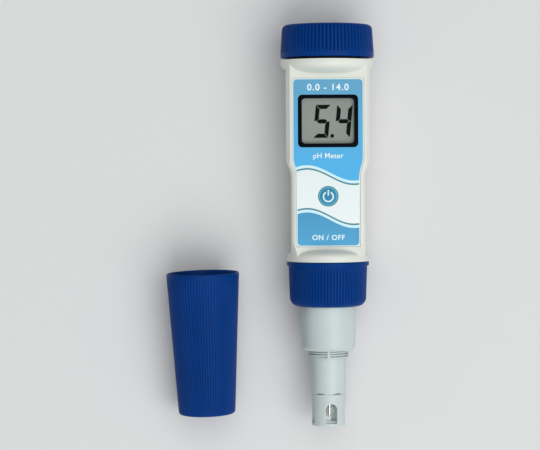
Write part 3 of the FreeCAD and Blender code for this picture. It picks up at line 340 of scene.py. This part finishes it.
# ---------------------------------------------------------------- battery cap
CAP_RIBS, CAP_GROOVE = 76, 0.75
CAP_BORE, CAP_BOTTOM, CAP_CEILING, CAP_TOP = 15.0, 87.02, 99.3, 101.1
CROWN_RADIUS, CROWN_START, CROWN_CURVE = 17.16, 98.9, 2.18
cap_outside = (
    [(CAP_BORE, CAP_BOTTOM), (19.55, CAP_BOTTOM)] + arc_points((19.6, 87.4), 0.36, -90, 0, 3)
    + [(20.0, 87.6), (20.0, 88.95)] + arc_points((19.85, 89.0), 0.15, 0, 60, 2)
)
cap_side = split_long([(19.97, 89.2), (19.95, 89.5), (19.36, CROWN_START)], 1.4)
cap_crown = arc_points((CROWN_RADIUS, CROWN_START), CROWN_CURVE, 8, 90, 9)
cap_inside = [(0.0, CAP_CEILING), (2.6, CAP_CEILING), (2.6, 98.45), (1.8, 98.45), (1.8, 98.1),
              (3.8, 98.1), (3.8, CAP_CEILING), (CAP_BORE - 0.5, CAP_CEILING),
              (CAP_BORE, CAP_CEILING - 0.5)]
cap_face = split_long([(CROWN_RADIUS, CAP_TOP - 0.02), (16.6, CAP_TOP - 0.02), (16.2, 100.8),
                       (4.0, 100.8)], 3.0)


def cap_ribs(radius, along, share):
    if radius < 15.6 or along < 89.3:
        return radius
    fade = eased(along, 89.2, 89.9) * (1 - eased(along, 99.9, 101.05))
    return radius - CAP_GROOVE * fade * rib_groove(share, CAP_RIBS)


cap_profile = cap_outside + cap_side + cap_crown + cap_face + [(0.0, 100.8)] + cap_inside
cap_shape = joined(
    lathe(cap_profile, CAP_RIBS * RIB_STEPS, cap_ribs),
    helix_ridge(CAP_BORE + 0.2, 14.1, 0.6, 0.3, 88.4, THREAD_PITCH, 1.5))
battery_cap = mesh_piece("battery_cap_ribbed", *cap_shape, PEN, blue_plastic, "battery_cap",
                         "blue_plastic")
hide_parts("battery_cap")

# ---------------------------------------------------------------- electrode collar
COLLAR_RIBS, COLLAR_GROOVE = 76, 0.45
COLLAR_BORE, COLLAR_START, COLLAR_SEAT = 14.35, -0.2, -12.6
collar_profile = (
    [(COLLAR_BORE, COLLAR_START), (17.4, COLLAR_START)] + arc_points((17.4, -0.45), 0.25, 90, 0, 3)
    + arc_points((17.4, -1.65), 0.25, 0, -90, 3) + [(16.95, -1.92)]
    + split_long([(16.88, -2.05), (16.4, -15.6)], 1.5)
    + arc_points((12.55, -15.55), 3.85, 0, -86, 12) + [(12.3, -19.35),
                                                       (12.3, COLLAR_SEAT),
                                                       (COLLAR_BORE, COLLAR_SEAT)]
)


def collar_ribs(radius, along, share):
    if radius < 12.5 or along > -2.0 or (radius < 14.5 and along > -14):
        return radius
    fade = eased(-along, 2.05, 3.0) * (1 - eased(-along, 17.4, 18.9))
    return radius - COLLAR_GROOVE * fade * rib_groove(share, COLLAR_RIBS)


collar_shape = joined(
    lathe(collar_profile, COLLAR_RIBS * RIB_STEPS, collar_ribs),
    helix_ridge(COLLAR_BORE + 0.2, 13.4, 0.6, 0.3, -8.75, THREAD_PITCH, 2.0))
collar = mesh_piece("electrode_collar_ribbed", *collar_shape, PEN, blue_plastic,
                    "electrode_collar", "blue_plastic")
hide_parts("electrode_collar")

# ---------------------------------------------------------------- electrode body
FRONT_SHARE = 0.75
SHAFT_RADIUS, SHAFT_END = 7.4, -57.0
SEAM_GAP, SEAM_FIRST, SEAM_LAST = 0.5, 11.0, 52.0
electrode_profile = (
    [(0.0, -2.0), (0.0, -13.0), (5.9, -13.0), (5.9, -55.5), (5.9, SHAFT_END),
     (SHAFT_RADIUS - 0.2, SHAFT_END), (SHAFT_RADIUS, SHAFT_END + 0.2), (SHAFT_RADIUS, -56.0)]
    + [(SHAFT_RADIUS, -41.8), (7.75, -41.8), (7.75, -38.3), (10.3, -38.3)]
    + split_long([(11.55, -37.0), (12.0, -19.4), (12.0, -12.35)], 3.5)
    + [(13.9, -12.35), (13.9, -10.35), (10.6, -10.35), (10.6, -2.2), (10.4, -2.0)]
)


def seam_edge(along, share):
    """The shaft's lower edge stands off the guard in two shallow arches at the front."""
    if along > -56.5:
        return along
    turned = math.degrees(2 * math.pi * abs(share - FRONT_SHARE))
    if not SEAM_FIRST < turned < SEAM_LAST:
        return along
    return along + SEAM_GAP * math.sin(math.pi * (turned - SEAM_FIRST) / (SEAM_LAST - SEAM_FIRST))


def mould_bump(half_width, radius, low, high):
    """Upright bar across the fine thread, where the mould halves met."""
    inner = radius - 1.3
    points = [(x, -r, along) for along in (low, high)
              for x, r in ((-half_width, inner), (-half_width, radius - 0.1), (0.0, radius),
                           (half_width, radius - 0.1), (half_width, inner))]
    faces = [(4, 3, 2, 1, 0), (5, 6, 7, 8, 9)]
    faces += [(k, (k + 1) % 5, (k + 1) % 5 + 5, k + 5) for k in range(5)]
    return points, faces


electrode_shape = joined(
    lathe(electrode_profile, 180, along_at=seam_edge),
    helix_ridge(7.6, 8.75, 0.38, 0.22, -41.35, FINE_PITCH, 2.5, first=FRONT_SHARE - 0.12),
    mould_bump(0.55, 8.85, -41.6, -38.4))
electrode = mesh_piece("electrode_body_threaded", *electrode_shape, PEN, electrode_plastic,
                       "electrode", "electrode_grey")
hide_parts("electrode_body")

# ---------------------------------------------------------------- sensor cap
SENSOR_RIBS, SENSOR_GROOVE = 74, 0.26
slope = (CAP_MOUTH_RADIUS - CAP_END_RADIUS) / CAP_LENGTH
sensor_profile = (
    [(0.0, 0.15), (9.6, 0.15), (10.2, 0.0), (11.0, 0.0)]
    + arc_points((11.0, 1.2), 1.18, -90, 3, 7)
    + split_long([(12.26, 1.5), (CAP_MOUTH_RADIUS - 0.21, CAP_LENGTH - 1.2)], 3.0)
    + [(15.66, 60.4), (15.58, 60.82), (15.36, 61.04), (15.1, 61.08), (14.8, 60.95),
       (14.55, 60.5)]
    + split_long([(14.5, 59.9), (10.9, 1.3)], 6.0) + [(0.0, 1.3)]
)


def sensor_ribs(radius, along, share):
    outside = CAP_END_RADIUS + slope * along - 0.6
    if radius < outside:
        return radius
    fade = eased(along, 0.6, 1.6) * (1 - eased(along, 59.6, 60.1))
    return radius - SENSOR_GROOVE * fade * rib_groove(share, SENSOR_RIBS)


sensor_cap = mesh_piece(
    "sensor_cap_ribbed", *lathe(sensor_profile, SENSOR_RIBS * RIB_STEPS, sensor_ribs), CAP,
    blue_plastic, "sensor_cap", "blue_plastic")
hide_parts("sensor_cap")


# ---------------------------------------------------------------- label, display and print
def filled(curve):
    """Points and faces of a filled curve, in its own plane. The curve is used up."""
    holder = bpy.data.objects.new(curve.name + "_holder", curve)
    bpy.context.scene.collection.objects.link(holder)
    bpy.context.view_layer.update()
    flat = bpy.data.meshes.new_from_object(
        holder.evaluated_get(bpy.context.evaluated_depsgraph_get()))
    points = [tuple(vertex.co) for vertex in flat.vertices]
    faces = [tuple(polygon.vertices) for polygon in flat.polygons]
    bpy.data.objects.remove(holder)
    bpy.data.curves.remove(curve)
    bpy.data.meshes.remove(flat)
    return points, faces


def flat_piece(name, outlines, front, thickness, material, body, slot, edge=0.0):
    """Plate facing the display side. outlines are closed rings of (x, along), holes among
    them; front is how far its face stands before the pen's axis."""
    curve = bpy.data.curves.new(name, "CURVE")
    curve.dimensions = "2D"
    curve.fill_mode = "BOTH"
    curve.extrude = thickness / 2 - edge
    curve.bevel_depth = edge
    curve.bevel_resolution = 2
    curve.offset = -edge
    for ring in outlines:
        spline = curve.splines.new("POLY")
        spline.points.add(len(ring) - 1)
        for point, (x, along) in zip(spline.points, ring):
            point.co = (x, along, 0, 1)
        spline.use_cyclic_u = True
    points, faces = filled(curve)
    standing = [(x, -(front - thickness / 2) - z, y) for x, y, z in points]
    return mesh_piece(name, standing, faces, PEN, material, body, slot)


CORNER_STEPS = 8


def soft_ring(half_width, bottom, top, corner):
    """Rounded rectangle as a ring of points."""
    ring = []
    for x, along, first in ((half_width - corner, top - corner, 0),
                            (-half_width + corner, top - corner, 90),
                            (-half_width + corner, bottom + corner, 180),
                            (half_width - corner, bottom + corner, 270)):
        ring += arc_points((x, along), corner, first, first + 90, CORNER_STEPS)
    return ring


def round_ring(radius, along, steps=64):
    return arc_points((0, along), radius, 0, 360 * (steps - 1) / steps, steps - 1)


LABEL_TOP, LABEL_BOTTOM, LABEL_CORNER = 77.9, 6.6, 2.0
LABEL_UPPER, LABEL_LOWER = 15.1, 13.5
WAIST_TOP, WAIST_BOTTOM = 44.2, 36.8
LABEL_FRONT, LABEL_THICKNESS = 11.65, 0.45
WAVE_COLUMNS = 72


def label_half_width(along):
    return LABEL_LOWER + (LABEL_UPPER - LABEL_LOWER) * eased(along, WAIST_BOTTOM, WAIST_TOP)


def wave(middle, swing):
    """The printed wave: high at the left, low at the right."""
    return lambda x: middle + swing * math.cos(math.pi * (x + 9.0) / 19.9)


def across_label(line, inset):
    """Points of a line over the label from its left edge to its right edge."""
    found = []
    for i in range(WAVE_COLUMNS + 1):
        share = -1 + 2 * i / WAVE_COLUMNS
        along = line(share * LABEL_LOWER)
        for _ in range(6):
            along = line(share * (label_half_width(along) - inset))
        found.append((share * (label_half_width(along) - inset), along))
    return found


def side_points(side, low, high, inset):
    """Points up one edge of the label between two heights, ends left out."""
    steps = 24
    found = []
    for i in range(1, steps):
        along = low + (high - low) * i / steps
        found.append((side * (label_half_width(along) - inset), along))
    return found


def band(upper, lower, inset):
    """Ring of points between two lines over the label."""
    top, bottom = across_label(upper, inset), across_label(lower, inset)
    return (top + side_points(1, top[-1][1], bottom[-1][1], inset) + bottom[::-1]
            + side_points(-1, bottom[0][1], top[0][1], inset))


RIM, BAND, LINE = 0.4, 1.2, 0.7
upper_wave, lower_wave = wave(37.8, 3.3), wave(19.65, 3.35)


def below(line, drop):
    return lambda x: line(x) - drop


def rounded_top(inset):
    """The label's rounded top corners, from right to left."""
    half, corner = LABEL_UPPER - inset, LABEL_CORNER - inset
    middle = LABEL_TOP - inset - corner
    return (arc_points((half - corner, middle), corner, 0, 90, CORNER_STEPS)
            + arc_points((-half + corner, middle), corner, 90, 180, CORNER_STEPS))


def rounded_bottom(inset):
    """The label's rounded bottom corners, from right to left."""
    half, corner = LABEL_LOWER - inset, LABEL_CORNER - inset
    middle = LABEL_BOTTOM + inset + corner
    return (arc_points((half - corner, middle), corner, 0, -90, CORNER_STEPS)
            + arc_points((-half + corner, middle), corner, -90, -180, CORNER_STEPS))


def field_above(line, inset):
    """Ring of the field from a wave up to the label's rounded top."""
    low = across_label(line, inset)
    high = LABEL_TOP - LABEL_CORNER
    return (low + side_points(1, low[-1][1], high, inset) + rounded_top(inset)
            + side_points(-1, high, low[0][1], inset))


def field_below(line, inset):
    """Ring of the field from a wave down to the label's rounded bottom."""
    return across_label(line, inset) + rounded_bottom(inset)


def printed(name, high, low, variation=0.03, start=40.0, end=75.0):
    """Printed film under a thin gloss. Its colour goes from low at the height start to high at
    the height end."""
    n = Nodes(name)
    along = n.add("ShaderNodeSeparateXYZ", {0: n.place}).outputs["Y"]
    first, last = ((PEN @ Vector((0, -LABEL_FRONT, s))).y for s in (start, end))
    share = n.add("ShaderNodeMapRange", {
        "Value": along, "From Min": first, "From Max": last}).outputs[0]
    speck = n.spread(n.noise(1500.0), -variation, variation)
    n.link(n.between(n.math("ADD", share, speck), low, high, 0.0, 1.0),
           n.shader.inputs["Base Color"])
    n.link(n.spread(n.noise(200.0), 0.26, 0.36), n.shader.inputs["Roughness"])
    n.bump(n.noise(500.0), 0.15, 0.00001)
    n.shader.inputs["Coat Weight"].default_value = 0.12
    n.shader.inputs["Coat Roughness"].default_value = 0.2
    return n.material


sky_print = printed("sky_print", (0.098, 0.352, 0.56), (0.06, 0.44, 0.80))
low_print = printed("low_print", (0.05, 0.30, 0.54), (0.06, 0.37, 0.64), start=6.0, end=22.0)
white_print = printed("white_print", (0.77, 0.85, 0.86), (0.83, 0.90, 0.90), start=16, end=40)
bright_print = printed("bright_print", (0.62, 0.86, 0.92), (0.62, 0.86, 0.92))
teal_print = printed("teal_print", (0.04, 0.19, 0.25), (0.05, 0.22, 0.28))
rim_print = printed("rim_print", (0.74, 0.85, 0.86), (0.74, 0.85, 0.86))

BEZEL_HALF_WIDTH, BEZEL_BOTTOM, BEZEL_TOP, BEZEL_CORNER = 12.8, 48.65, 71.0, 1.9
BEZEL_CLEAR = 0.02
BUTTON_ALONG = 27.9
window_hole = soft_ring(BEZEL_HALF_WIDTH, BEZEL_BOTTOM, BEZEL_TOP, BEZEL_CORNER)
button_hole = round_ring(4.32, BUTTON_ALONG)
label_rings = [
    ("label_upper", sky_print, [field_above(upper_wave, RIM), window_hole]),
    ("label_upper_band", bright_print, [band(upper_wave, below(upper_wave, BAND), RIM)]),
    ("label_upper_line", teal_print,
     [band(below(upper_wave, BAND), below(upper_wave, BAND + LINE), RIM)]),
    ("label_middle", white_print,
     [band(below(upper_wave, BAND + LINE), lower_wave, RIM), button_hole]),
    ("label_lower_line", teal_print, [band(lower_wave, below(lower_wave, LINE), RIM)]),
    ("label_lower_band", bright_print,
     [band(below(lower_wave, LINE), below(lower_wave, LINE + BAND), RIM)]),
    ("label_lower", low_print, [field_below(below(lower_wave, LINE + BAND), RIM)]),
]
label_pieces = [
    flat_piece(name, rings, LABEL_FRONT, LABEL_THICKNESS, material, "housing", "label_blue")
    for name, material, rings in label_rings]


def label_outline(inset):
    """Ring round the whole label."""
    low, high = LABEL_BOTTOM + LABEL_CORNER, LABEL_TOP - LABEL_CORNER
    return (rounded_bottom(inset) + side_points(-1, low, high, inset) + rounded_top(inset)[::-1]
            + side_points(1, high, low, inset))


label_pieces.append(flat_piece("label_rim", [label_outline(0.0), label_outline(RIM)], LABEL_FRONT,
                               LABEL_THICKNESS, rim_print, "housing", "label_blue"))
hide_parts("front_label")

# black frame of the display
bezel_outside = soft_ring(BEZEL_HALF_WIDTH - BEZEL_CLEAR, BEZEL_BOTTOM + BEZEL_CLEAR,
                          BEZEL_TOP - BEZEL_CLEAR, BEZEL_CORNER)
screen_opening = soft_ring(11.1, 50.3, 69.4, 1.5)
BEZEL_FRONT, BEZEL_THICKNESS = 11.62, 0.4
bezel = flat_piece("display_bezel_frame", [bezel_outside, screen_opening], BEZEL_FRONT,
                   BEZEL_THICKNESS, bezel_ink, "housing", "bezel_black", edge=0.08)
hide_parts("display_bezel")


# display panel and its segments
def panel_material():
    n = Nodes("lcd_panel")
    n.link(n.between(n.noise(35.0), (0.305, 0.35, 0.305), (0.35, 0.395, 0.35)),
           n.shader.inputs["Base Color"])
    n.link(n.spread(n.noise(400.0), 0.3, 0.4), n.shader.inputs["Roughness"])
    return n.material


lcd_panel = panel_material()
nodes["lcd_glass"].data.materials[0] = lcd_panel
segment_ink = plastic("segment_ink", (0.001, 0.004, 0.004), 0.4, 0.1, specular=0.02)

DIGIT_BOTTOM, DIGIT_TOP, SEGMENT, SLANT = 52.7, 66.7, 1.75, 0.09


def segment_points(left, right):
    """The seven bars of one digit as rings, named a to g as usual. The outer bars are long on
    their outer side and cut at a slant toward the next bar."""
    half, gap = SEGMENT / 2, 0.12
    top, bottom = DIGIT_TOP, DIGIT_BOTTOM
    middle = (top + bottom) / 2

    def across(edge, inner):
        return [(left + gap, edge), (right - gap, edge), (right - SEGMENT - gap, inner),
                (left + SEGMENT + gap, inner)]

    def upright(edge, side):
        inner = edge - side * (SEGMENT + gap)
        near, tip = middle + side * (half + gap), middle + side * gap
        return [(left, edge - side * gap), (left + SEGMENT, inner), (left + SEGMENT, near),
                (left + half, tip), (left, tip)]

    def mirrored(ring):
        return [(left + right - x, along) for x, along in ring]

    waist = [(left + half + gap, middle), (left + SEGMENT + gap, middle + half),
             (right - SEGMENT - gap, middle + half), (right - half - gap, middle),
             (right - SEGMENT - gap, middle - half), (left + SEGMENT + gap, middle - half)]
    bars = {"a": across(top, top - SEGMENT), "d": across(bottom, bottom + SEGMENT), "g": waist,
            "f": upright(top, 1), "b": mirrored(upright(top, 1)),
            "e": upright(bottom, -1), "c": mirrored(upright(bottom, -1))}
    return {name: [(x + SLANT * (along - DIGIT_BOTTOM), along) for x, along in ring]
            for name, ring in bars.items()}


FIVE_SIDES, FOUR_SIDES = (-6.35, 0.1), (2.7, 9.3)
five, four = segment_points(*FIVE_SIDES), segment_points(*FOUR_SIDES)
point_ring = [(x + SLANT * 0.7, along) for x, along in
              ((0.95, 52.8), (2.4, 52.8), (2.5, 54.25), (1.05, 54.25))]
digit_rings = [five[bar] for bar in "afgcd"] + [four[bar] for bar in "fbgc"] + [point_ring]
PRINT_THICKNESS, DIGITS_FRONT = 0.06, 9.98
flat_piece("display_digits", digit_rings, DIGITS_FRONT, PRINT_THICKNESS, segment_ink, "housing",
           "bezel_black")

# ---------------------------------------------------------------- power button
button_blue = plastic("button_blue", (0.02, 0.235, 0.40), 0.33, 0.04, grain=1500.0, specular=0.3)
button_ring = plastic("button_ring", (0.10, 0.48, 0.63), 0.35, 0.03, specular=0.3)
button_mark = plastic("button_mark", (0.70, 0.86, 0.90), 0.4, 0.03, specular=0.3)
BUTTON_FRONT, MARK_FRONT, FLANGE_FRONT, STEM_FRONT = 11.95, 11.99, 9.9, 9.25
MARK_ALONG = BUTTON_ALONG - 0.15


def button_piece(name, rings, front, thickness, material, edge=0.0):
    return flat_piece(name, rings, front, thickness, material, "power_button", "button_blue", edge)


disc = button_piece("power_button_disc", [round_ring(4.15, BUTTON_ALONG, 96)], BUTTON_FRONT, 2.0,
                    button_blue, edge=0.25)
button_piece("power_button_flange", [round_ring(5.4, BUTTON_ALONG, 96)], FLANGE_FRONT, 0.7,
             button_blue)
button_piece("power_button_stem", [round_ring(1.8, BUTTON_ALONG, 48)], STEM_FRONT, 1.25,
             button_blue)
button_piece("power_button_edge", [round_ring(3.98, BUTTON_ALONG, 96),
                                   round_ring(3.55, BUTTON_ALONG, 96)],
             MARK_FRONT, PRINT_THICKNESS, button_ring)
mark_arc = (arc_points((0, MARK_ALONG), 2.4, 60, -240, 40)
            + arc_points((0, MARK_ALONG), 1.75, -240, 60, 40))
mark_bar = [(-0.3, 28.2), (0.3, 28.2), (0.3, 30.6), (-0.3, 30.6)]
button_piece("power_button_mark", [mark_arc, mark_bar], MARK_FRONT, PRINT_THICKNESS, button_mark)
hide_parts("power_button")


# ---------------------------------------------------------------- generic lettering
LETTER_HALF_THICKNESS, LETTER_LIFT = 0.015, 0.012


def lettering(name, text, size, along, material, embolden, spacing):
    """A centred line of text that stands just proud of the label."""
    curve = bpy.data.curves.new(name, "FONT")
    curve.body = text
    curve.size = size
    curve.align_x, curve.align_y = "CENTER", "CENTER"
    curve.extrude = LETTER_HALF_THICKNESS
    curve.offset = embolden
    curve.space_character = spacing
    points, faces = filled(curve)
    standing = [(x, -LABEL_FRONT - LETTER_LIFT - z, along + y) for x, y, z in points]
    return mesh_piece(name, standing, faces, PEN, material, "housing", "label_blue")


letter_white = printed("letter_white", (0.80, 0.93, 0.96), (0.80, 0.93, 0.96))
lettering("range_lettering", "0.0 - 14.0", 3.9, 74.0, letter_white, 0.06, 1.16)
lettering("name_lettering", "pH Meter", 3.1, 45.0, letter_white, 0.035, 1.05)
lettering("switch_lettering", "ON / OFF", 3.0, 10.3, letter_white, 0.05, 1.12)


# ---------------------------------------------------------------- floor, light and camera
def stage_material():
    n = Nodes("studio_floor")
    n.link(n.between(n.noise(3.0), (0.70, 0.70, 0.70), (0.71, 0.71, 0.71)),
           n.shader.inputs["Base Color"])
    n.shader.inputs["Roughness"].default_value = 0.9
    n.shader.inputs["Specular IOR Level"].default_value = 0.1
    return n.material


floor_mesh = bpy.data.meshes.new("studio_floor")
REACH = 4.0
floor_mesh.from_pydata([(-REACH, -REACH, 0), (REACH, -REACH, 0), (REACH, REACH, 0),
                        (-REACH, REACH, 0)], [], [(0, 1, 2, 3)])
floor_mesh.materials.append(stage_material())
floor = bpy.data.objects.new("studio_floor", floor_mesh)
bpy.context.scene.collection.objects.link(floor)

bpy.context.scene.view_settings.view_transform = "Standard"
world = bpy.data.worlds.new("studio_air")
bpy.context.scene.world = world
world.use_nodes = True
world.node_tree.nodes["Background"].inputs["Color"].default_value = (0.95, 0.98, 1.0, 1)
world.node_tree.nodes["Background"].inputs["Strength"].default_value = 0.33


def soft_light(name, place, target, size, power):
    data = bpy.data.lights.new(name, "AREA")
    data.shape = "RECTANGLE"
    data.size, data.size_y = size
    data.energy = power
    lamp = bpy.data.objects.new(name, data)
    lamp.location = place
    lamp.rotation_euler = (Vector(target) - Vector(place)).to_track_quat("-Z", "Y").to_euler()
    bpy.context.scene.collection.objects.link(lamp)


soft_light("light_low", (0.75, -1.15, 2.1), (0, 0, 0), (3.0, 2.0), 48.0)
soft_light("light_over", (0.5, 0.9, 2.3), (0, 0, 0), (3.0, 1.8), 18.0)

camera_data = bpy.data.cameras.new("camera")
camera_data.lens = 147.0
camera_data.sensor_width = 36.0
camera_data.clip_end = 50.0
camera = bpy.data.objects.new("camera", camera_data)
camera.location = (0.0, 0.00017, 0.965)
camera.rotation_euler = (0, 0, math.radians(-0.27))
bpy.context.scene.collection.objects.link(camera)
bpy.context.scene.camera = camera
